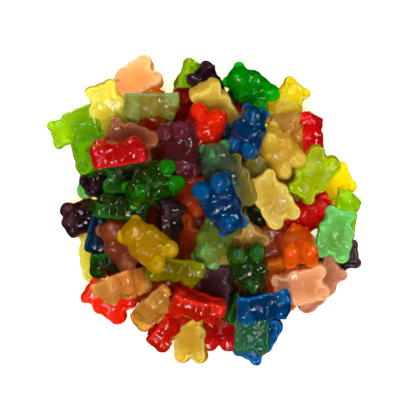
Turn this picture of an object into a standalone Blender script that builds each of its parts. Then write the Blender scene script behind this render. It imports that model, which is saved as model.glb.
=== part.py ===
"""A loose heap of gummy bears on a flat surface, about 112 mm across and 40 mm high.

The heap is one solid out to its uneven outline: every bear that lies at the outside is there as a lump of
its true form, over a filled core, and the underside is cut flat where the heap rests.
X is to the right, Y away from the viewer, Z up, and the origin is at the middle of the underside.
"""

import math

import bmesh
import bpy
import numpy as np
from mathutils import Matrix, Vector, noise

MM = 0.001
NAME = "gummy_bear_heap"

# One bear, in mm. It stands on its flat back at z = 0, head towards +Y, belly up.
# A lobe is (centre, radii, goes down to the flat back). Lobes off the middle line come in pairs.
LOBES = {
    "belly": ((0.0, -1.2, 3.8), (6.4, 7.0, 4.8), True),
    "chest": ((0.0, 2.4, 3.8), (6.1, 4.4, 4.3), True),
    "head": ((0.0, 6.0, 3.8), (5.2, 4.4, 4.5), True),
    "snout": ((0.0, 5.8, 7.3), (2.6, 2.1, 2.1), False),
    "ear": ((3.5, 8.5, 2.9), (2.3, 2.2, 2.3), True),
    "shoulder": ((4.1, 1.7, 3.2), (2.7, 3.1, 3.6), True),
    "paw": ((3.3, 0.9, 6.4), (2.6, 2.3, 2.1), False),
    "flank": ((3.9, -2.6, 3.2), (2.8, 4.2, 3.6), True),
    "hip": ((3.7, -6.4, 3.4), (3.2, 3.5, 3.8), True),
    "foot": ((3.4, -7.1, 6.3), (3.1, 3.1, 2.7), False),
}
MIDDLE = np.array((0.0, 0.0, 4.3))

# Balls (x, y, z, radius in mm) that fill a bear where bears touch each other.
BALLS = [
    (0.0, 6.3, 4.5, 4.3),
    (0.0, 5.7, 7.4, 1.9),
    (3.5, 8.5, 2.3, 2.1),
    (0.0, 2.6, 4.4, 4.3),
    (3.8, 1.9, 2.7, 2.5),
    (3.2, 1.0, 6.9, 1.9),
    (0.0, -1.2, 4.6, 4.6),
    (0.0, -4.6, 4.3, 4.2),
    (3.7, -6.9, 2.9, 2.9),
    (3.4, -7.4, 6.7, 2.4),
]

# How a bear lies: which way its belly turns, in degrees about its length.
FRONT, BACK, RIGHT, LEFT = 0, 180, 90, -90

# Every bear at the outside of the heap, from the lowest to the topmost:
# x and y of its middle in mm, heading of its head (0 = +X, 90 = +Y), how it lies, lift of its head.
BEARS = [
    # on the surface and deep inside
    (-36.5, 11, 90, BACK, 0),
    (-30, 29, 60, BACK, 0),
    (-45, 29, 195, BACK, 0),
    (-24, 43.5, 220, BACK, 0),
    (1, 41, 90, RIGHT, 58),
    (-5.5, 42.5, 75, LEFT - 45, 0),
    (13, 37, 70, BACK, 0),
    (16.5, 43, 142, FRONT, 0),
    (43, 7.5, 30, BACK, 0),
    (36.5, 26, 95, RIGHT, 0),
    (28.5, 37, 55, BACK, 0),
    (49.5, -3.5, 90, RIGHT, 0),
    (45, -15.5, 30, BACK, 0),
    (38, -24, 35, BACK, 0),
    (18.5, -44.5, 235, BACK, 0),
    (-4.5, -45, 92, BACK, 0),
    (7.5, -40.5, 80, FRONT, 0),
    (-12.5, -40.5, 60, RIGHT, 0),
    (-19.5, -26, 95, BACK, 0),
    (-34, -29.5, 142, BACK, 0),
    (-38, -15.5, 107, BACK, 0),
    (-40.5, 2.5, 40, LEFT + 30, -20),
    (-14.5, 35, 100, RIGHT, 0),
    (-6, 34, 70, FRONT, 0),
    (7.5, 29, 30, BACK, 0),
    (5, 24, 70, BACK, 0),
    (-15.5, 26.5, 80, BACK, 0),
    (18, 19, 160, BACK, 0),
    (27.5, 11.5, 130, BACK, 0),
    (15, 13, 60, BACK, 0),
    (-20.5, 17.5, 20, BACK, 0),
    (17, -3, 85, FRONT, 0),
    (21, -10, 170, BACK, 0),
    (25, -17.5, 60, BACK, 0),
    (25.5, -26.5, 100, BACK, 0),
    (13.5, -31.5, 60, BACK, 0),
    (11.5, -13.5, 50, BACK, 0),
    (-15.5, -25.5, 0, BACK, 0),
    (-24.5, -19.5, 120, BACK, 0),
    (-6, -9.5, 105, BACK, 0),
    (-6, 4, 80, FRONT, 0),
    (11, 9.5, 110, BACK, 0),
    # half way up
    (-38.5, 22, 98, BACK, 0),
    (37.5, 13, 235, BACK, 0),
    (28.5, 26, 100, FRONT, 35),
    (36, -0.5, 35, FRONT, 0),
    (-36, -5, 75, RIGHT, 0),
    (-35, 7, 115, RIGHT, 45),
    (-29, -18, 0, RIGHT, 0),
    (-27.5, -11, 125, FRONT, 0),
    (-28.5, 2, 170, RIGHT, 0),
    (-26, 12.5, 10, BACK, 0),
    (-17, -32.5, 60, RIGHT - 30, 55),
    (-27.5, -24.5, 195, LEFT, 60),
    (16.3, -40, 92, BACK, 0),
    (32, -11, 100, FRONT, -60),
    (33, -25, 195, BACK, 0),
    (-23.5, 25, 150, BACK, 0),
    (6, -25, 80, BACK, 0),
    # on top
    (-33, 35, 100, BACK, 25),
    (-17.7, 35.3, 0, RIGHT, 0),
    (3.2, 33.8, 115, BACK, 35),
    (-0.5, 26.5, 251, FRONT, 0),
    (-8, 21, 277, FRONT, -10),
    (26, 20.5, 122, FRONT, 0),
    (15, 26.5, 68, FRONT, 0),
    (5.5, 13, 100, FRONT, 0),
    (-28.5, 20, 8, LEFT + 20, 0),
    (-11, -3.5, 90, RIGHT, 45),
    (-16, 8.5, 205, FRONT, 0),
    (23.5, 4, 120, BACK, 0),
    (15.5, -20, 279, FRONT, 0),
    (20.5, -32.5, 15, RIGHT - 15, 0),
    (-9.5, -20, 0, RIGHT, 0),
    (-3, -32.5, 342, RIGHT, 0),
    (-18.5, -11, 140, FRONT, 0),
    (3.5, -11.5, 232, FRONT, 0),
    (44.8, -9, 81, BACK, 0),
    (5.5, 2.5, 297, FRONT, 0),
]
SMALLEST, SIZE_STEP, SIZES = 0.92, 0.015, 5  # bears differ a little in size
PRESSED = 0.96  # the soft bears give way a little where they touch
LUMP_SIZE, LUMP_HEIGHT = 4.5, 0.5  # how each soft bear is out of shape, mm

CORE_TOP, CORE_REACH = 8.0, 34.0  # filled mound under the bears, mm
FILL_DEPTH, FILL_CELL, FILL_REACH, FILL_INSET = 3.0, 1.5, 66.0, 6
REST_CUT = 0.6  # taken off below, where the lowest bears press flat
VOXEL = 1.1
TRIANGLES = 9400


def turn(heading, roll, lift):
    """Rotation of a bear that is rolled about its length, lifted at its head and turned to its heading."""
    a, b, c = math.radians(heading - 90), math.radians(lift), math.radians(roll)
    about_z = np.array([[math.cos(a), -math.sin(a), 0], [math.sin(a), math.cos(a), 0], [0, 0, 1]])
    about_x = np.array([[1, 0, 0], [0, math.cos(b), -math.sin(b)], [0, math.sin(b), math.cos(b)]])
    about_y = np.array([[math.cos(c), 0, math.sin(c)], [0, 1, 0], [-math.sin(c), 0, math.cos(c)]])
    return about_z @ about_x @ about_y


def core_height(x, y):
    return CORE_TOP * np.clip(1 - (x * x + y * y) / CORE_REACH**2, 0, None)


def touching_pairs(centres, balls, radii):
    """Pairs of balls, each from another bear, that are near each other. The second bear lies higher."""
    count = balls.shape[1]
    apart = ((centres[:, None] - centres[None]) ** 2).sum(2)
    near = np.argwhere(np.triu(apart < 27**2, 1))
    one = np.repeat(near[:, 0, None] * count + np.arange(count), count, axis=1).ravel()
    two = np.tile(near[:, 1, None] * count + np.arange(count), (1, count)).ravel()
    flat, size = balls.reshape(-1, 3), radii.ravel()
    close = ((flat[one] - flat[two]) ** 2).sum(1) < (size[one] + size[two] + 4) ** 2
    return one[close], two[close]


def pile(bears, sizes):
    """Lays the bears on the core and on one another, and gives each one's rotation and centre in mm.

    They start one above the other in their order. In each round every bear goes down a little, is drawn
    to its own place and lie, and is moved out of its neighbours, with the later bear of a pair upwards.
    """
    half = [(s * x, y, z, r) for x, y, z, r in BALLS for s in ((1, -1) if x else (1,))]
    half = np.array(half)
    total, count = len(bears), len(half)
    lies = np.array([turn(*bear[2:]) for bear in bears])
    spots = np.array([bear[:2] for bear in bears], float)
    rest = (half[:, :3] - MIDDLE)[None] * sizes[:, None, None]
    radii = PRESSED * half[:, 3][None] * sizes[:, None]
    size = radii.ravel()
    centres = np.column_stack([spots, 6 + 1.2 * np.arange(total)])
    turns = lies.copy()
    sinking = int(1.2 * total / 0.4) + 80
    for step in range(sinking + 200):
        calm = step >= sinking
        balls = centres[:, None] + np.einsum("nij,nkj->nki", turns, rest)
        if step % 6 == 0:
            one, two = touching_pairs(centres, balls, radii)
        balls[:, :, 2] -= 0.03 if calm else 0.4
        balls[:, :, :2] += (0.06 if calm else 0.2) * (spots - centres[:, :2])[:, None]
        balls += 0.06 * (centres[:, None] + np.einsum("nij,nkj->nki", lies, rest) - balls)
        flat = balls.reshape(-1, 3)
        gap = flat[one] - flat[two]
        far = np.sqrt((gap**2).sum(1)) + 1e-9
        deep = size[one] + size[two] - far
        hit = deep > 0
        a, b = one[hit], two[hit]
        way = gap[hit] / far[hit, None]
        way[:, 2] -= 0.12 if calm else 0.4
        way *= (0.5 * deep[hit] / np.sqrt((way**2).sum(1)))[:, None]
        moves, hits = np.zeros_like(flat), np.zeros(len(flat))
        np.add.at(moves, a, way)
        np.add.at(moves, b, -way)
        np.add.at(hits, a, 1)
        np.add.at(hits, b, 1)
        flat += moves / np.maximum(hits, 1)[:, None] * 2.0
        balls = flat.reshape(total, count, 3)
        floor = core_height(balls[:, :, 0], balls[:, :, 1]) + radii
        weight = 1 + 6.0 * (hits.reshape(total, count) > 0) + 6.0 * (balls[:, :, 2] < floor)
        balls[:, :, 2] = np.maximum(balls[:, :, 2], floor)
        share = weight.sum(1)[:, None]
        mid = (weight[:, :, None] * balls).sum(1) / share
        rest_mid = (weight[:, :, None] * rest).sum(1) / share
        spread = np.einsum("nki,nkj->nij", (balls - mid[:, None]) * weight[:, :, None], rest - rest_mid[:, None])
        u, _, v = np.linalg.svd(spread)
        keep = np.ones((total, 3))
        keep[:, 2] = np.linalg.det(u @ v)
        turns = u @ (keep[:, :, None] * v)
        centres = mid - np.einsum("nij,nj->ni", turns, rest_mid)
    return turns, centres


def add_lobe(bm, centre, radii, to_back, side):
    """One rounded lobe. One that goes down to the back narrows less below its middle."""
    ball = bmesh.ops.create_uvsphere(bm, u_segments=12, v_segments=8, radius=1.0)["verts"]
    for vert in ball:
        x, y, z = vert.co
        if to_back and z < -0.01:
            down = min(1.0, -z / 0.8)
            wide = math.sqrt(1 - (0.6 * down) ** 2) / max(math.hypot(x, y), 1e-6)
            x, y, z = x * wide, y * wide, -centre[2] / radii[2] * down
        vert.co = Vector((side * centre[0] + x * radii[0], centre[1] + y * radii[1], centre[2] + z * radii[2]))


def bear_mesh():
    bm = bmesh.new()
    for centre, radii, to_back in LOBES.values():
        for side in (1, -1) if centre[0] else (1,):
            add_lobe(bm, centre, radii, to_back, side)
    mesh = bpy.data.meshes.new("bear_lumps")
    bm.to_mesh(mesh)
    bm.free()
    return mesh


def settled(points, seed):
    """A bear's points in mm after it has sagged: a little bent, twisted and pressed, each in its own way."""
    draw = np.random.RandomState(seed)
    bend, twist = draw.uniform(-0.012, 0.012), draw.uniform(-0.012, 0.012)
    wide, long, deep = draw.uniform(0.95, 1.06, 3)
    x, y, z = (points - MIDDLE).T
    y, z = y * np.cos(bend * y) - z * np.sin(bend * y), z * np.cos(bend * y) + np.abs(y) * np.sin(bend * np.abs(y))
    x, z = x * np.cos(twist * y) - z * np.sin(twist * y), x * np.sin(twist * y) + z * np.cos(twist * y)
    out = np.column_stack([x * wide, y * long, z * deep])
    start = Vector(draw.uniform(-50, 50, 3))
    lumps = [noise.noise_vector(Vector(p) / LUMP_SIZE + start) for p in out]
    return out + LUMP_HEIGHT * np.array(lumps)


def heap_of_lumps(turns, centres, sizes):
    """All bears as lumps in one mesh, in metres."""
    bm = bmesh.new()
    lumps = bear_mesh()
    points = np.array([v.co for v in lumps.vertices])
    for i, size in enumerate(sizes):
        copy = lumps.copy()
        placed = (settled(points, i) * size) @ turns[i].T + centres[i]
        copy.vertices.foreach_set("co", (placed * MM).ravel())
        bm.from_mesh(copy)
        bpy.data.meshes.remove(copy)
    bpy.data.meshes.remove(lumps)
    return bm


def add_fill(bm):
    """A lumpy mound under the bears: a grid that follows them from a few mm below, closed underneath."""
    side = int(2 * FILL_REACH / FILL_CELL)
    top = np.zeros((side + 1, side + 1))
    for vert in bm.verts:
        i = round((vert.co.x / MM + FILL_REACH) / FILL_CELL)
        j = round((vert.co.y / MM + FILL_REACH) / FILL_CELL)
        top[i, j] = max(top[i, j], vert.co.z / MM)
    for _ in range(2):
        top = neighbours(top, np.maximum)
    for _ in range(FILL_INSET):
        top = neighbours(top, np.minimum)
    depth = 3 * REST_CUT
    grid = bmesh.ops.create_grid(bm, x_segments=side, y_segments=side, size=FILL_REACH * MM)["verts"]
    for vert in grid:
        i = round((vert.co.x / MM + FILL_REACH) / FILL_CELL)
        j = round((vert.co.y / MM + FILL_REACH) / FILL_CELL)
        height = top[min(i, side), min(j, side)] - FILL_DEPTH
        vert.co.z = (height if height > 1 else -depth / 2) * MM
    inner = [v for v in grid if v.co.z > 0]
    outer = [v for v in grid if v.co.z <= 0 and not any(e.other_vert(v).co.z > 0 for e in v.link_edges)]
    bmesh.ops.delete(bm, geom=outer, context="VERTS")
    faces = {f for v in inner for f in v.link_faces}
    base = bmesh.ops.extrude_face_region(bm, geom=list(faces))["geom"]
    for vert in (g for g in base if isinstance(g, bmesh.types.BMVert)):
        vert.co.z = -depth * MM


def neighbours(grid, pick):
    """Each cell becomes the highest or the lowest of itself and its four neighbours."""
    wide = np.pad(grid, 1, mode="edge")
    out = grid
    for part in (wide[:-2, 1:-1], wide[2:, 1:-1], wide[1:-1, :-2], wide[1:-1, 2:]):
        out = pick(out, part)
    return out


def evaluated(obj):
    return bpy.data.meshes.new_from_object(obj.evaluated_get(bpy.context.evaluated_depsgraph_get()))


def largest_body(mesh):
    """Keeps only the outer skin, and not the shells of closed gaps inside the heap."""
    bm = bmesh.new()
    bm.from_mesh(mesh)
    left = set(bm.verts)
    bodies = []
    while left:
        queue = [left.pop()]
        body = set(queue)
        while queue:
            for edge in queue.pop().link_edges:
                for vert in edge.verts:
                    if vert in left:
                        left.discard(vert)
                        body.add(vert)
                        queue.append(vert)
        bodies.append(body)
    outer = max(bodies, key=len)
    bmesh.ops.delete(bm, geom=[v for v in bm.verts if v not in outer], context="VERTS")
    bm.to_mesh(mesh)
    bm.free()


def build():
    for obj in list(bpy.data.objects):
        bpy.data.objects.remove(obj)
    model = bpy.data.collections.new(NAME)
    cutters = bpy.data.collections.new("cutters")
    bpy.context.scene.collection.children.link(model)
    bpy.context.scene.collection.children.link(cutters)

    sizes = np.array([SMALLEST + SIZE_STEP * (i * 3 % SIZES) for i in range(len(BEARS))])
    turns, centres = pile(BEARS, sizes)
    bm = heap_of_lumps(turns, centres, sizes)
    add_fill(bm)
    mesh = bpy.data.meshes.new(NAME)
    bm.to_mesh(mesh)
    bm.free()
    heap = bpy.data.objects.new(NAME, mesh)
    model.objects.link(heap)

    skin = heap.modifiers.new("one_skin", "REMESH")
    skin.mode = "VOXEL"
    skin.voxel_size = VOXEL * MM
    soften = heap.modifiers.new("soften", "SMOOTH")
    soften.iterations = 2
    skinned = evaluated(heap)
    heap.modifiers.clear()
    largest_body(skinned)
    heap.data = skinned

    thin = heap.modifiers.new("thin_out", "DECIMATE")
    thin.use_collapse_triangulate = True
    thin.ratio = TRIANGLES / sum(len(p.vertices) - 2 for p in skinned.polygons)
    bpy.ops.mesh.primitive_cube_add(size=1)
    below = bpy.context.object
    below.name = "below_the_rest_plane"
    below.scale = (0.2, 0.2, 0.02)
    below.location = (0, 0, REST_CUT * MM - 0.01)
    for collection in list(below.users_collection):
        collection.objects.unlink(below)
    cutters.objects.link(below)
    below.hide_render = True
    below.display_type = "WIRE"
    flat = heap.modifiers.new("flat_underside", "BOOLEAN")
    flat.operation = "DIFFERENCE"
    flat.object = below

    bpy.context.view_layer.update()
    done = evaluated(heap)
    heap.modifiers.clear()
    largest_body(done)
    corners = np.array([v.co for v in done.vertices])
    low, high = corners.min(0), corners.max(0)
    shift = Vector((-(low[0] + high[0]) / 2, -(low[1] + high[1]) / 2, -low[2]))
    done.transform(Matrix.Translation(shift))
    done.name = NAME
    heap.data = done
    done.shade_smooth()

    finish = bpy.data.materials.new("mixed_fruit_gel")
    finish.use_nodes = True
    shader = finish.node_tree.nodes["Principled BSDF"]
    shader.inputs["Base Color"].default_value = (0.45, 0.12, 0.02, 1)
    shader.inputs["Roughness"].default_value = 0.3
    shader.inputs["Metallic"].default_value = 0.0
    done.materials.clear()
    done.materials.append(finish)


build()
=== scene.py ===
"""A loose heap of gummy bears in mixed colours, on a pale table, seen from straight above.

Every bear that lies at the outside of the heap is a whole bear. They lie on one another and on a small
mound of gel, which stands for the bears deep inside; its dark colour is painted shade, the deep bears as they look in
the heap's shade. One piece holds all the bears of one flavour.
"""

import math

import bmesh
import bpy
import numpy as np
from mathutils import Matrix, Vector, noise
from mathutils.bvhtree import BVHTree


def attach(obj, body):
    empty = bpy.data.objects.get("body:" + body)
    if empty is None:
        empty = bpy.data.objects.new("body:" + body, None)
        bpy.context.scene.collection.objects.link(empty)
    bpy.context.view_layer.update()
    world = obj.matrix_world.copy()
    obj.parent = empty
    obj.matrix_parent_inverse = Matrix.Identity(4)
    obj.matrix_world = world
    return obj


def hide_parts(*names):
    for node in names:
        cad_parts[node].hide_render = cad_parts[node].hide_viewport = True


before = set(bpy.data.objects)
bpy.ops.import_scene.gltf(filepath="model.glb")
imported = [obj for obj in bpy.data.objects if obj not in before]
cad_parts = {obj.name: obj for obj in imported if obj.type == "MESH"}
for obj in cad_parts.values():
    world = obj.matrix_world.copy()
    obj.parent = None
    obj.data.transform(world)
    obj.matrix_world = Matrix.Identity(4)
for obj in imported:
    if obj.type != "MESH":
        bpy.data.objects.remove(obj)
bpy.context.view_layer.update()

MM = 0.001
HEAP = "gummy_bear_heap"

# One bear, in mm. It stands on its flat back at z = 0, head towards +Y, belly up.
# A lobe is (centre, radii, goes down to the flat back). Lobes off the middle line come in pairs.
LOBES = {
    "belly": ((0.0, -1.2, 3.8), (6.4, 7.0, 4.8), True),
    "chest": ((0.0, 2.4, 3.8), (6.1, 4.4, 4.3), True),
    "head": ((0.0, 6.0, 3.8), (5.2, 4.4, 4.5), True),
    "snout": ((0.0, 5.8, 7.3), (2.6, 2.1, 2.1), False),
    "ear": ((3.5, 8.5, 2.9), (2.3, 2.2, 2.3), True),
    "shoulder": ((4.1, 1.7, 3.2), (2.7, 3.1, 3.6), True),
    "paw": ((3.3, 0.9, 6.4), (2.6, 2.3, 2.1), False),
    "flank": ((3.9, -2.6, 3.2), (2.8, 4.2, 3.6), True),
    "hip": ((3.7, -6.4, 3.4), (3.2, 3.5, 3.8), True),
    "foot": ((3.4, -7.1, 6.3), (3.1, 3.1, 2.7), False),
}
# Small forms on the skin: (centre, radii), and raised rings: (centre, radius, thickness).
DETAILS = {
    "nose": ((0.0, 6.6, 9.1), (1.0, 0.8, 0.8)),
    "chin": ((0.0, 4.4, 8.4), (1.1, 0.6, 0.8)),
    "eye": ((2.1, 8.0, 7.2), (0.75, 0.75, 0.75)),
    "finger": ((1.7, 1.1, 7.8), (0.8, 0.5, 0.6)),
    "knuckle": ((2.0, 0.0, 7.8), (0.8, 0.5, 0.6)),
    "toe": ((2.2, -5.2, 8.4), (0.7, 0.7, 0.8)),
    "belly_fold": ((0.0, -3.4, 8.3), (2.8, 0.5, 0.5)),
}
RINGS = {
    "muzzle": ((0.0, 5.8, 8.3), 2.1, 0.4),
    "inner_ear": ((3.5, 8.6, 4.9), 1.4, 0.4),
    "sole": ((3.4, -7.3, 8.45), 1.5, 0.4),
}
MIDDLE = np.array((0.0, 0.0, 4.3))
SKIN_VOXEL, BODY_SMOOTH, DETAIL_SMOOTH = 0.46, 5, 1
BACK_WIDE = 0.8  # the back is narrower than the middle
BACK_DISH, RIM = 0.9, 0.25  # the back sinks in a little within its rim as the poured gel sets
PROBES, THIN, THICK = 12, 5.4, 8.8  # rays, and mm of gel that count as thin and as thick
LUMP_SIZE, LUMP_HEIGHT = 4.5, 0.4  # how each soft bear is out of shape, mm

# Balls (x, y, z, radius in mm) that fill a bear where bears touch each other.
BALLS = [
    (0.0, 6.3, 4.5, 4.3),
    (0.0, 5.7, 7.4, 1.9),
    (3.5, 8.5, 2.3, 2.1),
    (0.0, 2.6, 4.4, 4.3),
    (3.8, 1.9, 2.7, 2.5),
    (3.2, 1.0, 6.9, 1.9),
    (0.0, -1.2, 4.6, 4.6),
    (0.0, -4.6, 4.3, 4.2),
    (3.7, -6.9, 2.9, 2.9),
    (3.4, -7.4, 6.7, 2.4),
]

# How a bear lies: which way its belly turns, in degrees about its length.
FRONT, BACK, RIGHT, LEFT = 0, 180, 90, -90

# Every bear at the outside of the heap, from the lowest to the topmost: its flavour,
# x and y of its middle in mm, heading of its head (0 = +X, 90 = +Y), how it lies, lift of its head.
BEARS = [
    # on the surface and deep inside
    ("mint", -36.5, 11, 90, BACK, 0),
    ("mint", -30, 29, 60, BACK, 0),
    ("lime", -45, 29, 195, BACK, 0),
    ("peach", -24, 43.5, 220, BACK, 0),
    ("purple", 1, 41, 90, RIGHT, 58),
    ("lime", -5.5, 42.5, 75, LEFT - 45, 0),
    ("purple", 13, 37, 70, BACK, 0),
    ("green_bright", 16.5, 43, 142, FRONT, 0),
    ("yellow", 43, 7.5, 30, BACK, 0),
    ("cherry", 36.5, 26, 95, RIGHT, 0),
    ("yellow", 28.5, 37, 55, BACK, 0),
    ("lime", 49.5, -3.5, 90, RIGHT, 0),
    ("purple", 45, -15.5, 30, BACK, 0),
    ("peach_rose", 38, -24, 35, BACK, 0),
    ("blue", 18.5, -44.5, 235, BACK, 0),
    ("champagne", -4.5, -45, 92, BACK, 0),
    ("crimson", 7.5, -40.5, 80, FRONT, 0),
    ("red", -12.5, -40.5, 60, RIGHT, 0),
    ("orange_deep", -19.5, -26, 95, BACK, 0),
    ("red_orange", -34, -29.5, 142, BACK, 0),
    ("lemon", -38, -15.5, 107, BACK, 0),
    ("purple", -40.5, 2.5, 40, LEFT + 30, -20),
    ("orange_light", -14.5, 35, 100, RIGHT, 0),
    ("crimson", -6, 34, 70, FRONT, 0),
    ("crimson", 7.5, 29, 30, BACK, 0),
    ("navy", 5, 24, 70, BACK, 0),
    ("orange_deep", -15.5, 26.5, 80, BACK, 0),
    ("orange_deep", 18, 19, 160, BACK, 0),
    ("amber", 27.5, 11.5, 130, BACK, 0),
    ("olive", 15, 13, 60, BACK, 0),
    ("green_dark", -20.5, 17.5, 20, BACK, 0),
    ("green_dark", 17, -3, 85, FRONT, 0),
    ("orange_deep", 21, -10, 170, BACK, 0),
    ("amber", 25, -17.5, 60, BACK, 0),
    ("orange_light", 25.5, -26.5, 100, BACK, 0),
    ("green_dark", 13.5, -31.5, 60, BACK, 0),
    ("amber", 11.5, -13.5, 50, BACK, 0),
    ("orange_deep", -15.5, -25.5, 0, BACK, 0),
    ("peach", -24.5, -19.5, 120, BACK, 0),
    ("orange_deep", -6, -9.5, 105, BACK, 0),
    ("orange_deep", -6, 4, 80, FRONT, 0),
    ("olive", 11, 9.5, 110, BACK, 0),
    # half way up
    ("lime_dark", -38.5, 22, 98, BACK, 0),
    ("lime_yellow", 37.5, 13, 235, BACK, 0),
    ("amber", 28.5, 26, 100, FRONT, 35),
    ("cherry", 36, -0.5, 35, FRONT, 0),
    ("navy", -36, -5, 75, RIGHT, 0),
    ("purple", -35, 7, 115, RIGHT, 45),
    ("green_dark", -29, -18, 0, RIGHT, 0),
    ("peach_brown", -27.5, -11, 125, FRONT, 0),
    ("green_dark", -28.5, 2, 170, RIGHT, 0),
    ("green_dark", -26, 12.5, 10, BACK, 0),
    ("amber", -17, -32.5, 60, RIGHT - 30, 55),
    ("apricot", -27.5, -24.5, 195, LEFT, 60),
    ("sea_green", 16.3, -40, 92, BACK, 0),
    ("orange", 32, -11, 100, FRONT, -60),
    ("peach_pink", 33, -25, 195, BACK, 0),
    ("peach_brown", -23.5, 25, 150, BACK, 0),
    ("purple", 6, -25, 80, BACK, 0),
    # on top
    ("lemon", -33, 35, 100, BACK, 25),
    ("mint_pale", -17.7, 35.3, 0, RIGHT, 0),
    ("champagne", 3.2, 33.8, 115, BACK, 35),
    ("red_orange", -0.5, 26.5, 251, FRONT, 0),
    ("plum", -8, 21, 277, FRONT, -10),
    ("champagne", 26, 20.5, 122, FRONT, 0),
    ("blue", 15, 26.5, 68, FRONT, 0),
    ("mint_smoky", 5.5, 13, 100, FRONT, 0),
    ("cherry", -28.5, 20, 8, LEFT + 20, 0),
    ("purple", -11, -3.5, 90, RIGHT, 45),
    ("green", -16, 8.5, 205, FRONT, 0),
    ("champagne", 23.5, 4, 120, BACK, 0),
    ("green_dark", 15.5, -20, 279, FRONT, 0),
    ("blue", 20.5, -32.5, 15, RIGHT - 15, 0),
    ("olive_lime", -9.5, -20, 0, RIGHT, 0),
    ("red", -3, -32.5, 342, RIGHT, 0),
    ("yellow_deep", -18.5, -11, 140, FRONT, 0),
    ("mint_olive", 3.5, -11.5, 232, FRONT, 0),
    ("mint", 44.8, -9, 81, BACK, 0),
    ("blue", 5.5, 2.5, 297, FRONT, 0),
]
SMALLEST, SIZE_STEP, SIZES = 0.92, 0.015, 5  # bears differ a little in size
PRESSED = 0.96  # the soft bears give way a little where they touch
CORE_TOP, CORE_REACH = 8.0, 34.0  # filled mound under the bears, mm
REST_CUT = 0.6  # how far the lowest bears press flat on the table


def turn(heading, roll, lift):
    """Rotation of a bear that is rolled about its length, lifted at its head and turned to its heading."""
    a, b, c = math.radians(heading - 90), math.radians(lift), math.radians(roll)
    about_z = np.array([[math.cos(a), -math.sin(a), 0], [math.sin(a), math.cos(a), 0], [0, 0, 1]])
    about_x = np.array([[1, 0, 0], [0, math.cos(b), -math.sin(b)], [0, math.sin(b), math.cos(b)]])
    about_y = np.array([[math.cos(c), 0, math.sin(c)], [0, 1, 0], [-math.sin(c), 0, math.cos(c)]])
    return about_z @ about_x @ about_y


def core_height(x, y):
    return CORE_TOP * np.clip(1 - (x * x + y * y) / CORE_REACH**2, 0, None)


def touching_pairs(centres, balls, radii):
    """Pairs of balls, each from another bear, that are near each other. The second bear lies higher."""
    count = balls.shape[1]
    apart = ((centres[:, None] - centres[None]) ** 2).sum(2)
    near = np.argwhere(np.triu(apart < 27**2, 1))
    one = np.repeat(near[:, 0, None] * count + np.arange(count), count, axis=1).ravel()
    two = np.tile(near[:, 1, None] * count + np.arange(count), (1, count)).ravel()
    flat, size = balls.reshape(-1, 3), radii.ravel()
    close = ((flat[one] - flat[two]) ** 2).sum(1) < (size[one] + size[two] + 4) ** 2
    return one[close], two[close]


def pile(bears, sizes):
    """Lays the bears on the core and on one another, and gives each one's rotation and centre in mm.

    They start one above the other in their order. In each round every bear goes down a little, is drawn
    to its own place and lie, and is moved out of its neighbours, with the later bear of a pair upwards.
    """
    half = [(s * x, y, z, r) for x, y, z, r in BALLS for s in ((1, -1) if x else (1,))]
    half = np.array(half)
    total, count = len(bears), len(half)
    lies = np.array([turn(*bear[2:]) for bear in bears])
    spots = np.array([bear[:2] for bear in bears], float)
    rest = (half[:, :3] - MIDDLE)[None] * sizes[:, None, None]
    radii = PRESSED * half[:, 3][None] * sizes[:, None]
    size = radii.ravel()
    centres = np.column_stack([spots, 6 + 1.2 * np.arange(total)])
    turns = lies.copy()
    sinking = int(1.2 * total / 0.4) + 80
    for step in range(sinking + 200):
        calm = step >= sinking
        balls = centres[:, None] + np.einsum("nij,nkj->nki", turns, rest)
        if step % 6 == 0:
            one, two = touching_pairs(centres, balls, radii)
        balls[:, :, 2] -= 0.03 if calm else 0.4
        balls[:, :, :2] += (0.06 if calm else 0.2) * (spots - centres[:, :2])[:, None]
        balls += 0.06 * (centres[:, None] + np.einsum("nij,nkj->nki", lies, rest) - balls)
        flat = balls.reshape(-1, 3)
        gap = flat[one] - flat[two]
        far = np.sqrt((gap**2).sum(1)) + 1e-9
        deep = size[one] + size[two] - far
        hit = deep > 0
        a, b = one[hit], two[hit]
        way = gap[hit] / far[hit, None]
        way[:, 2] -= 0.12 if calm else 0.4
        way *= (0.5 * deep[hit] / np.sqrt((way**2).sum(1)))[:, None]
        moves, hits = np.zeros_like(flat), np.zeros(len(flat))
        np.add.at(moves, a, way)
        np.add.at(moves, b, -way)
        np.add.at(hits, a, 1)
        np.add.at(hits, b, 1)
        flat += moves / np.maximum(hits, 1)[:, None] * 2.0
        balls = flat.reshape(total, count, 3)
        floor = core_height(balls[:, :, 0], balls[:, :, 1]) + radii
        weight = 1 + 6.0 * (hits.reshape(total, count) > 0) + 6.0 * (balls[:, :, 2] < floor)
        balls[:, :, 2] = np.maximum(balls[:, :, 2], floor)
        share = weight.sum(1)[:, None]
        mid = (weight[:, :, None] * balls).sum(1) / share
        rest_mid = (weight[:, :, None] * rest).sum(1) / share
        spread = np.einsum("nki,nkj->nij", (balls - mid[:, None]) * weight[:, :, None], rest - rest_mid[:, None])
        u, _, v = np.linalg.svd(spread)
        keep = np.ones((total, 3))
        keep[:, 2] = np.linalg.det(u @ v)
        turns = u @ (keep[:, :, None] * v)
        centres = mid - np.einsum("nij,nj->ni", turns, rest_mid)
    return turns, centres


def add_lobe(bm, centre, radii, to_back, side):
    """One rounded lobe. One that goes down to the back narrows less below its middle."""
    ball = bmesh.ops.create_uvsphere(bm, u_segments=20, v_segments=14, radius=1.0)["verts"]
    for vert in ball:
        x, y, z = vert.co
        if to_back and z < -0.01:
            down = min(1.0, -z / 0.8)
            wide = math.sqrt(1 - (1 - BACK_WIDE**2) * down**2) / max(math.hypot(x, y), 1e-6)
            x, y, z = x * wide, y * wide, -centre[2] / radii[2] * down
        vert.co = Vector((side * centre[0] + x * radii[0], centre[1] + y * radii[1], centre[2] + z * radii[2]))


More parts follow.
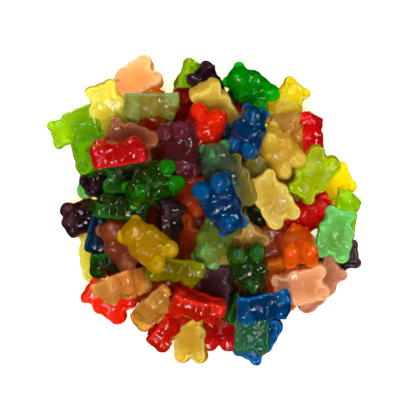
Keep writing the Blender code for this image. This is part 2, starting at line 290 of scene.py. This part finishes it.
def add_ring(bm, centre, radius, thickness, side):
    place = Matrix.Translation((side * centre[0], centre[1], centre[2]))
    cross = bmesh.ops.create_circle(bm, segments=8, radius=thickness)["verts"]
    bmesh.ops.rotate(bm, verts=cross, cent=(0, 0, 0), matrix=Matrix.Rotation(math.pi / 2, 3, "X"))
    bmesh.ops.translate(bm, verts=cross, vec=(radius, 0, 0))
    bmesh.ops.transform(bm, verts=cross, matrix=place)
    edges = list({e for v in cross for e in v.link_edges})
    bmesh.ops.spin(bm, geom=cross + edges, cent=place.translation, axis=(0, 0, 1), angle=math.tau, steps=20, use_merge=True)


def evaluated(obj):
    return bpy.data.meshes.new_from_object(obj.evaluated_get(bpy.context.evaluated_depsgraph_get()))


def skinned(bm, voxel, smooth):
    """Joins overlapping lumps under one even skin, in the bmesh's own unit."""
    mesh = bpy.data.meshes.new("lumps")
    bm.to_mesh(mesh)
    bm.free()
    obj = bpy.data.objects.new("lumps", mesh)
    bpy.context.scene.collection.objects.link(obj)
    skin = obj.modifiers.new("one_skin", "REMESH")
    skin.mode = "VOXEL"
    skin.voxel_size = voxel
    soften = obj.modifiers.new("soften", "SMOOTH")
    soften.iterations = smooth
    out = evaluated(obj)
    bpy.data.objects.remove(obj)
    bpy.data.meshes.remove(mesh)
    return out


def read_points(mesh):
    points = np.empty(3 * len(mesh.vertices))
    mesh.vertices.foreach_get("co", points)
    return points.reshape(-1, 3)


def moulded_bear():
    """The bear as it leaves its mould, in mm, with the dish in its back, and how much each point is rim, which the
    colour lightens as a painted highlight.
    """
    bm = bmesh.new()
    for centre, radii, to_back in LOBES.values():
        for side in (1, -1) if centre[0] else (1,):
            add_lobe(bm, centre, radii, to_back, side)
    mesh = skinned(bm, SKIN_VOXEL, BODY_SMOOTH)
    bm = bmesh.new()
    bm.from_mesh(mesh)
    for centre, radii in DETAILS.values():
        for side in (1, -1) if centre[0] else (1,):
            add_lobe(bm, centre, radii, False, side)
    for centre, radius, thickness in RINGS.values():
        for side in (1, -1) if centre[0] else (1,):
            add_ring(bm, centre, radius, thickness, side)
    mesh = skinned(bm, SKIN_VOXEL, DETAIL_SMOOTH)
    points = read_points(mesh)
    inside = np.zeros(len(points))
    for centre, radii, to_back in LOBES.values():
        for side in (1, -1) if to_back else ():
            across, along = points[:, 0] - side * centre[0], points[:, 1] - centre[1]
            inside = np.maximum(inside, 1 - (across / radii[0] / BACK_WIDE) ** 2 - (along / radii[1] / BACK_WIDE) ** 2)
    dish = np.clip((inside - RIM) / RIM, 0, 1)
    # Painted highlight: the rim of the back is marked to take the lighter thin-edge colour, a bright outline.
    rim = np.where(points[:, 2] < 1.2, 1 - dish, 0)
    points[:, 2] += np.where(points[:, 2] < 1.2, BACK_DISH * dish * dish * (3 - 2 * dish), 0)
    mesh.vertices.foreach_set("co", points.ravel())
    return mesh, rim


def thinness(mesh):
    """For each point how thin the gel is around it, 0 to 1, from how far it reaches inwards."""
    points = [v.co.copy() for v in mesh.vertices]
    inwards = [-v.normal for v in mesh.vertices]
    tree = BVHTree.FromPolygons(points, [p.vertices for p in mesh.polygons])
    spread = [Vector((math.sin(2.4 * k), math.cos(2.4 * k), 0)) * 1.5 * math.sqrt(k / PROBES) for k in range(PROBES)]
    reach = np.zeros(len(points))
    for i, (point, inward) in enumerate(zip(points, inwards)):
        to_skin = inward.to_track_quat("Z", "Y")
        for side in spread:
            way = (to_skin @ (side + Vector((0, 0, 1)))).normalized()
            reach[i] += (tree.ray_cast(point + inward * 0.05, way)[3] or 0) / PROBES
    edges = np.array([e.vertices[:] for e in mesh.edges])
    for _ in range(4):
        total, count = reach.copy(), np.ones(len(points))
        for a, b in (edges.T, edges.T[::-1]):
            np.add.at(total, a, reach[b])
            np.add.at(count, a, 1)
        reach = total / count
    return np.clip((THICK - reach) / (THICK - THIN), 0, 1)


def settled(points, seed):
    """A bear's points in mm after it has sagged: a little bent, twisted and pressed, each in its own way."""
    draw = np.random.RandomState(seed)
    bend, twist = draw.uniform(-0.012, 0.012), draw.uniform(-0.012, 0.012)
    wide, long, deep = draw.uniform(0.95, 1.06, 3)
    x, y, z = (points - MIDDLE).T
    y, z = y * np.cos(bend * y) - z * np.sin(bend * y), z * np.cos(bend * y) + np.abs(y) * np.sin(bend * np.abs(y))
    x, z = x * np.cos(twist * y) - z * np.sin(twist * y), x * np.sin(twist * y) + z * np.cos(twist * y)
    out = np.column_stack([x * wide, y * long, z * deep])
    start = Vector(draw.uniform(-50, 50, 3))
    lumps = [noise.noise_vector(Vector(p) / LUMP_SIZE + start) for p in out]
    return out + LUMP_HEIGHT * np.array(lumps)


def gather(bears, turns, centres, sizes, mould):
    """Bears by flavour: a mesh in mm for each, with every bear settled in its place, and a tone for each bear."""
    mould, rim = mould
    base = read_points(mould)
    # The colour mask holds painted light: thin gel and the back's rim, where the colour is lightened as if lit
    # through.
    thin = np.maximum(thinness(mould), rim)
    flavours = {}
    for i, bear in enumerate(bears):
        flavours.setdefault(bear[0], []).append(i)
    meshes = {}
    for flavour, members in flavours.items():
        bm = bmesh.new()
        tones = []
        for i in members:
            copy = mould.copy()
            own = settled(base, i) * sizes[i]
            placed = own @ turns[i].T + centres[i]
            placed[:, 2] = np.maximum(placed[:, 2], REST_CUT)
            copy.vertices.foreach_set("co", placed.ravel())
            bm.from_mesh(copy)
            bpy.data.meshes.remove(copy)
            tones += [(i * 0.618034) % 1.0] * len(base)
        mesh = bpy.data.meshes.new("bears_" + flavour)
        bm.to_mesh(mesh)
        bm.free()
        mesh.attributes.new("tone", "FLOAT", "POINT").data.foreach_set("value", tones)
        mesh.attributes.new("thinness", "FLOAT", "POINT").data.foreach_set("value", np.tile(thin, len(members)))
        meshes[flavour] = mesh
    return meshes


def make_object(name, mesh, material):
    obj = bpy.data.objects.new(name, mesh)
    bpy.context.scene.collection.objects.link(obj)
    mesh.materials.clear()
    mesh.materials.append(material)
    mesh.shade_smooth()
    return obj


def linear(code):
    """An sRGB hex colour as linear RGBA."""
    parts = [int(code[i : i + 2], 16) / 255 for i in (0, 2, 4)]
    return [p / 12.92 if p <= 0.04045 else ((p + 0.055) / 1.055) ** 2.4 for p in parts] + [1.0]


def node(tree, kind, settings=None, **links):
    """Adds a node, sets its values and sockets, and links sockets to other nodes' outputs."""
    new = tree.nodes.new(kind)
    for key, value in (settings or {}).items():
        if key in new.inputs:
            new.inputs[key].default_value = value
        else:
            setattr(new, key, value)
    for key, output in links.items():
        tree.links.new(new.inputs[key.replace("_", " ")], output)
    return new


def new_material(name):
    material = bpy.data.materials.new(name)
    material.use_nodes = True
    material.node_tree.nodes.clear()
    return material, material.node_tree


# Gelatin gel, poured in starch moulds and tumbled in oil: soft and glassy, deep in colour where it is
# thick, with small sharp glints on a slightly wavy skin. Its brightness at thin edges is painted light: a lighter
# colour that stands for light shining through thin gel.
# flavour: (colour where thick, colour at thin edges that paints light shining through thin gel, density per m,
# clearness)
FLAVOURS = {
    "lime": ("9BC300", "C8F014", 60, 0.55),
    "lime_dark": ("6E9600", "8CC000", 80, 0.6),
    "lime_yellow": ("A0AA00", "BCCC00", 70, 0.55),
    "olive_lime": ("7D6E00", "A0AA00", 100, 0.5),
    "green_bright": ("008C00", "00C80A", 80, 0.5),
    "green": ("123200", "008C00", 140, 0.3),
    "green_dark": ("142806", "195F0F", 160, 0.25),
    "sea_green": ("1E5537", "235F37", 100, 0.3),
    "mint": ("64963C", "82DC78", 60, 0.5),
    "mint_pale": ("968732", "AAC882", 60, 0.5),
    "mint_smoky": ("505A46", "46BE64", 80, 0.6),
    "mint_olive": ("737D28", "87D77D", 70, 0.55),
    "olive": ("82732A", "968C32", 120, 0.5),
    "yellow": ("D2C300", "F0E100", 80, 0.45),
    "yellow_deep": ("B48C00", "E6C800", 80, 0.55),
    "lemon": ("C8B928", "EBE15A", 60, 0.35),
    "champagne": ("BE9B28", "EBD764", 50, 0.45),
    "amber": ("CDA03C", "EBC864", 70, 0.6),
    "apricot": ("B98232", "E1AA5A", 70, 0.5),
    "peach": ("E1A55F", "FFCD91", 50, 0.35),
    "peach_pink": ("CD8C55", "FAC896", 50, 0.5),
    "peach_rose": ("AA6437", "DC9673", 60, 0.35),
    "peach_brown": ("823C1E", "B9734B", 80, 0.45),
    "orange": ("B43C00", "F06E0A", 150, 0.4),
    "orange_light": ("DC6400", "FF9628", 90, 0.4),
    "orange_deep": ("B43C06", "E1641E", 110, 0.6),
    "red_orange": ("C81900", "F02D0A", 400, 0.4),
    "red": ("A51400", "EB2814", 200, 0.45),
    "cherry": ("AF0A0A", "E12328", 200, 0.45),
    "crimson": ("780505", "BE1414", 160, 0.5),
    "plum": ("3E0E14", "6E2837", 150, 0.25),
    "purple": ("1E0E14", "4B303A", 200, 0.3),
    "blue": ("002D55", "006EAF", 130, 0.4),
    "navy": ("0F1E37", "14466E", 180, 0.45),
}
WAVE_SIZE, WAVE_HEIGHT = 3.0, 0.4  # mm, the wavy skin
GLOW_DEPTH = 1.2  # mm that light spreads under the skin


def gel(name, thick, thin, density, clear):
    material, tree = new_material(name)
    where = node(tree, "ShaderNodeTexCoord").outputs["Object"]
    tone = node(tree, "ShaderNodeAttribute", {"attribute_name": "tone"}).outputs["Fac"]
    shade = node(tree, "ShaderNodeMapRange", {"To Min": 0.85, "To Max": 1.15}, Value=tone)
    thinness = node(tree, "ShaderNodeAttribute", {"attribute_name": "thinness"}).outputs["Fac"]
    # Painted light: where the gel is thin and on the back's rim, the colour turns to the lighter thin-edge colour,
    # which stands for light shining through thin gel.
    colour_and_thin_glow = node(tree, "ShaderNodeMix", {"data_type": "RGBA"})
    colour_and_thin_glow.inputs[6].default_value = linear(thick)
    colour_and_thin_glow.inputs[7].default_value = linear(thin)
    thin_glow_share = node(tree, "ShaderNodeMath", {"operation": "MULTIPLY"}, Value=thinness)
    thin_glow_share.inputs[1].default_value = 0.75
    tree.links.new(colour_and_thin_glow.inputs[0], thin_glow_share.outputs["Value"])
    colour = node(tree, "ShaderNodeHueSaturation", {}, Color=colour_and_thin_glow.outputs[2], Value=shade.outputs["Result"])
    waves = node(tree, "ShaderNodeTexNoise", {"Scale": 1 / (WAVE_SIZE * MM), "Detail": 1.0, "Distortion": 0.8}, Vector=where)
    bump = node(tree, "ShaderNodeBump", {"Strength": 1.0, "Distance": WAVE_HEIGHT * MM}, Height=waves.outputs["Fac"])
    body = node(
        tree,
        "ShaderNodeBsdfPrincipled",
        {
            "Roughness": 0.06,
            "IOR": 1.42,
            "Specular IOR Level": 0.4,
            "Transmission Weight": min(0.85, clear + 0.15),
            "Subsurface Weight": 1.0,
            "Subsurface Radius": (1.0, 1.0, 1.0),
            "Subsurface Scale": GLOW_DEPTH * MM,
            "Coat Weight": 0.4,
            "Coat Roughness": 0.03,
            "Coat IOR": 1.46,
        },
        Base_Color=colour.outputs["Color"],
        Normal=bump.outputs["Normal"],
    )
    strongest = max(linear(thin)[:3])
    tint = node(
        tree,
        "ShaderNodeVolumeAbsorption",
        {"Color": [c / strongest for c in linear(thin)[:3]] + [1.0], "Density": 3 * density},
    )
    node(tree, "ShaderNodeOutputMaterial", Surface=body.outputs["BSDF"], Volume=tint.outputs["Volume"])
    return material


def core_mesh(top):
    """The mound inside the heap, in mm: a lumpy dome whose underside is flat."""
    bm = bmesh.new()
    dome = bmesh.ops.create_icosphere(bm, subdivisions=5, radius=1.0)["verts"]
    for vert in dome:
        x, y, z = vert.co
        lumps = 1 + 0.12 * noise.noise(vert.co * 4.0)
        vert.co = Vector((x * CORE_REACH * lumps, y * CORE_REACH * lumps, max(REST_CUT, z * top * lumps)))
    mesh = bpy.data.meshes.new("deep_bears")
    bm.to_mesh(mesh)
    bm.free()
    for name in ("tone", "thinness"):
        mesh.attributes.new(name, "FLOAT", "POINT")
    return mesh


# The bears, by flavour.
sizes = np.array([SMALLEST + SIZE_STEP * (i * 3 % SIZES) for i in range(len(BEARS))])
turns, centres = pile([bear[1:] for bear in BEARS], sizes)
meshes = gather(BEARS, turns, centres, sizes, moulded_bear())
points = np.vstack([read_points(mesh) for mesh in meshes.values()])
low, high = points.min(0), points.max(0)
shift = Vector((-(low[0] + high[0]) / 2, -(low[1] + high[1]) / 2, -low[2]))
to_place = Matrix.Scale(MM, 4) @ Matrix.Translation(shift)
for flavour, mesh in meshes.items():
    mesh.transform(to_place)
    piece = make_object("bears_" + flavour, mesh, gel("gelatin_gel_" + flavour, *FLAVOURS[flavour]))
    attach(piece, "root")
    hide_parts(HEAP)

core = core_mesh(CORE_TOP)
core.transform(to_place)
# Painted shade: the mound's dark brown is the deep bears' mixed colour, darkened as if in the heap's shade.
piece = make_object("bears_deep_inside", core, gel("gelatin_gel_deep_inside", "4A2810", "603010", 200, 0.2))
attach(piece, "root")
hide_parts(HEAP)


PAINTED_GLOW_REACH = 8.0  # mm of table around the heap that takes a painted cream tint, for light through the gel and for the heap's shade


def lay_table():
    """A wide plain white table, with a painted cream tint near the heap for light through the gel and for the heap's
    shade.
    """
    bm = bmesh.new()
    bmesh.ops.create_grid(bm, x_segments=2, y_segments=2, size=1.5)
    mesh = bpy.data.meshes.new("table")
    bm.to_mesh(mesh)
    bm.free()
    material, tree = new_material("white_matt_laminate")
    # Painted light and shade: near the heap the table's emitted colour turns from white to cream, for light through
    # the gel and the heap's shade.
    near = node(tree, "ShaderNodeAmbientOcclusion", {"Distance": PAINTED_GLOW_REACH * MM})
    painted_gel_glow = node(tree, "ShaderNodeMix", {"data_type": "RGBA"})
    tree.links.new(painted_gel_glow.inputs[0], near.outputs["AO"])
    painted_gel_glow.inputs[6].default_value = linear("FFDC78")
    painted_gel_glow.inputs[7].default_value = linear("F8F8F6")
    top = node(
        tree,
        "ShaderNodeBsdfPrincipled",
        {"Base Color": (0.3, 0.3, 0.3, 1), "Roughness": 0.6, "Emission Strength": 0.85},
        Emission_Color=painted_gel_glow.outputs[2],
    )
    node(tree, "ShaderNodeOutputMaterial", Surface=top.outputs["BSDF"])
    table = make_object("table", mesh, material)
    table.visible_glossy = False


def add_light(name, where, size, power, seen):
    """A square light that faces the heap. Only the small ones are seen in the gloss."""
    lamp = bpy.data.lights.new(name, "AREA")
    lamp.size = size
    lamp.energy = power
    obj = bpy.data.objects.new(name, lamp)
    obj.location = where
    obj.rotation_euler = (-Vector(where)).to_track_quat("-Z", "Y").to_euler()
    obj.visible_glossy = seen
    bpy.context.scene.collection.objects.link(obj)


lay_table()
add_light("front_softbox", (0.0, -0.35, 0.6), 0.5, 8, False)
add_light("front_sheen", (-0.1, -0.4, 0.6), 0.16, 1.2, True)
add_light("back_softbox", (0.0, 0.5, 0.6), 0.5, 5, False)
add_light("near_sheen", (0.1, -0.2, 0.7), 0.1, 0.2, True)
add_light("top_sheen", (0.13, 0.04, 0.7), 0.2, 0.2, True)
add_light("side_sheen", (0.5, 0.1, 0.4), 0.15, 1.0, True)
add_light("back_sheen", (-0.3, 0.5, 0.35), 0.15, 0.8, True)

studio = bpy.data.worlds.new("studio")
studio.use_nodes = True
studio.node_tree.nodes["Background"].inputs["Color"].default_value = (1, 1, 1, 1)
studio.node_tree.nodes["Background"].inputs["Strength"].default_value = 0.4
studio.cycles_visibility.glossy = False
bpy.context.scene.world = studio
bpy.context.scene.view_settings.view_transform = "Standard"

# The camera looks straight down from 350 mm.
CAMERA_HEIGHT, VIEW_WIDTH = 350.0, 150.72
camera = bpy.data.cameras.new("camera")
camera.sensor_width = 36.0
camera.lens = camera.sensor_width * CAMERA_HEIGHT / VIEW_WIDTH
camera.clip_start = 0.01
viewer = bpy.data.objects.new("camera", camera)
viewer.location = ((1.45 + shift.x) * MM, (1.09 + shift.y) * MM, CAMERA_HEIGHT * MM)
bpy.context.scene.collection.objects.link(viewer)
bpy.context.scene.camera = viewer
